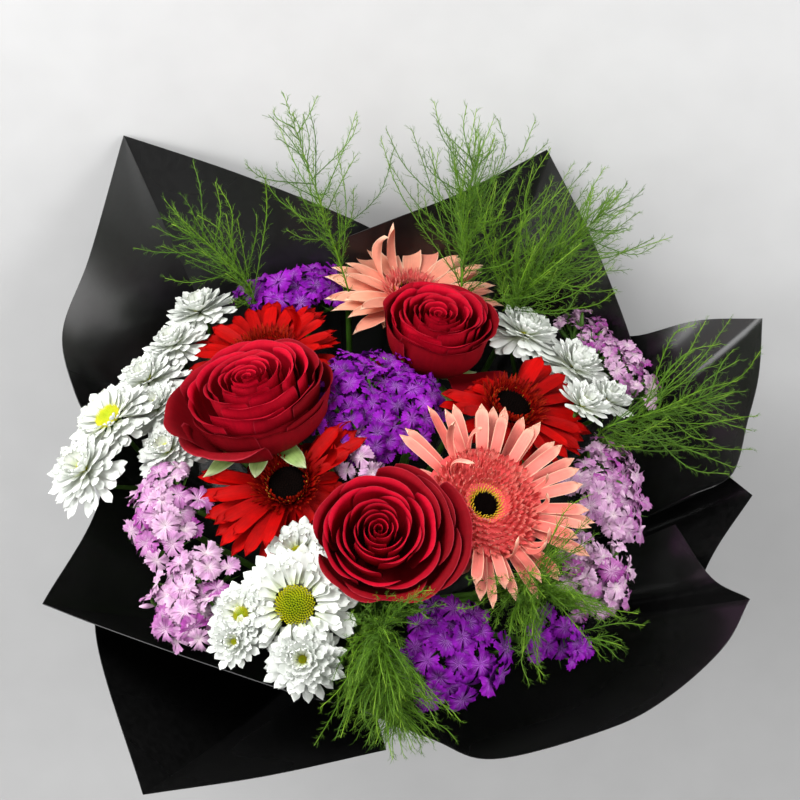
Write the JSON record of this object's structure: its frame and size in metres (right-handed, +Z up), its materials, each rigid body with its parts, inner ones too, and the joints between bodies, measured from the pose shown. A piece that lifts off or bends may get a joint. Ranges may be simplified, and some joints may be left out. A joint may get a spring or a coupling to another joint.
{
  "type": "wrapped mixed flower bouquet",
  "caption": "Round hand-tied bouquet of roses, gerberas, white daisies, sweet williams and fine fern in a pointed black film wrapper, lying on its back.",
  "frame": {"origin": "middle of the object's footprint, on the surface that it lies on", "axes": "+Z up; the flowers face -Y and up, and the cut stems are at +Y"},
  "size_m": [0.4514, 0.5048, 0.3932],
  "materials": {
    "film": "black satin film",
    "ribbon": "black satin ribbon",
    "twine": "natural twine",
    "rose": "velvety red petal",
    "gerbera_red": "matt red petal",
    "gerbera_coral": "matt coral petal",
    "gerbera_peach": "matt peach petal",
    "gerbera_disc": "near-black florets",
    "daisy": "matt white petal with a yellow-green middle",
    "pink_purple": "matt purple petal",
    "pink_lilac": "matt lilac petal",
    "stem": "fresh green stem",
    "fern": "fresh green needles"
  },
  "bodies": {
    "root": {"wrap_back_right": "film", "wrap_back_left": "film", "wrap_front_left_inner": "film", "wrap_front_left_outer": "film", "wrap_front_right": "film", "wrap_right_corner": "film", "wrap_right_curled": "film", "stem_tie": "twine", "wrap_ribbon": "ribbon", "rose_left": "rose", "rose_upper": "rose", "rose_front": "rose", "rose_left_stem": "stem", "rose_upper_stem": "stem", "rose_front_stem": "stem", "coral_gerbera_front_rays": "gerbera_coral", "coral_gerbera_front_disc": "gerbera_disc", "coral_gerbera_front_stem": "stem", "red_gerbera_right_rays": "gerbera_red", "red_gerbera_right_disc": "gerbera_disc", "red_gerbera_right_stem": "stem", "red_gerbera_front_rays": "gerbera_red", "red_gerbera_front_disc": "gerbera_disc", "red_gerbera_front_stem": "stem", "red_gerbera_back_rays": "gerbera_red", "red_gerbera_back_disc": "gerbera_disc", "red_gerbera_back_stem": "stem", "coral_gerbera_back_rays": "gerbera_peach", "coral_gerbera_back_disc": "gerbera_disc", "coral_gerbera_back_stem": "stem", "daisies_left_top": "daisy", "daisies_left": "daisy", "daisies_front": "daisy", "daisies_right": "daisy", "purple_pinks_middle": "pink_purple", "purple_pinks_back": "pink_purple", "purple_pinks_front": "pink_purple", "purple_pinks_low_right": "pink_purple", "lilac_pinks_left": "pink_lilac", "lilac_pinks_front_left": "pink_lilac", "lilac_pinks_middle": "pink_lilac", "lilac_pinks_right": "pink_lilac", "lilac_pinks_low_right": "pink_lilac", "lilac_pinks_right_top": "pink_lilac", "fern_back_left": "fern", "fern_back_middle": "fern", "fern_back_right": "fern", "fern_back_far_right": "fern", "fern_right": "fern", "fern_front_right": "fern", "fern_front": "fern"}
  },
  "joints": []
}
